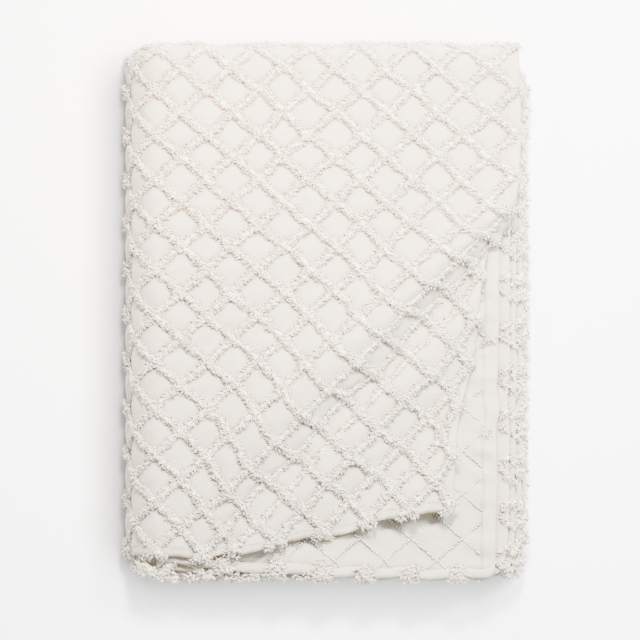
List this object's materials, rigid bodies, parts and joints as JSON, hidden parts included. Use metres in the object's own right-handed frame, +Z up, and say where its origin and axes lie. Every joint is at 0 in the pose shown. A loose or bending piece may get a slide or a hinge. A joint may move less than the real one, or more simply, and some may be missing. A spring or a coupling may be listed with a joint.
{
  "type": "folded bedspread",
  "caption": "Tufted cotton bedspread with a diamond lattice, folded into a flat rectangular stack with one corner drawn into soft diagonal folds.",
  "frame": {"origin": "middle of the underside's box, on the surface that the stack lies on", "axes": "+Z up out of the stack, +Y to the back, where the top layer turns down, +X to the right, where the folds and hems show"},
  "size_m": [0.4266, 0.567, 0.0819],
  "materials": {
    "tufted_cotton": "undyed ivory cotton with clipped tuft rows"
  },
  "bodies": {
    "root": {"bedspread": "tufted_cotton"}
  },
  "joints": []
}
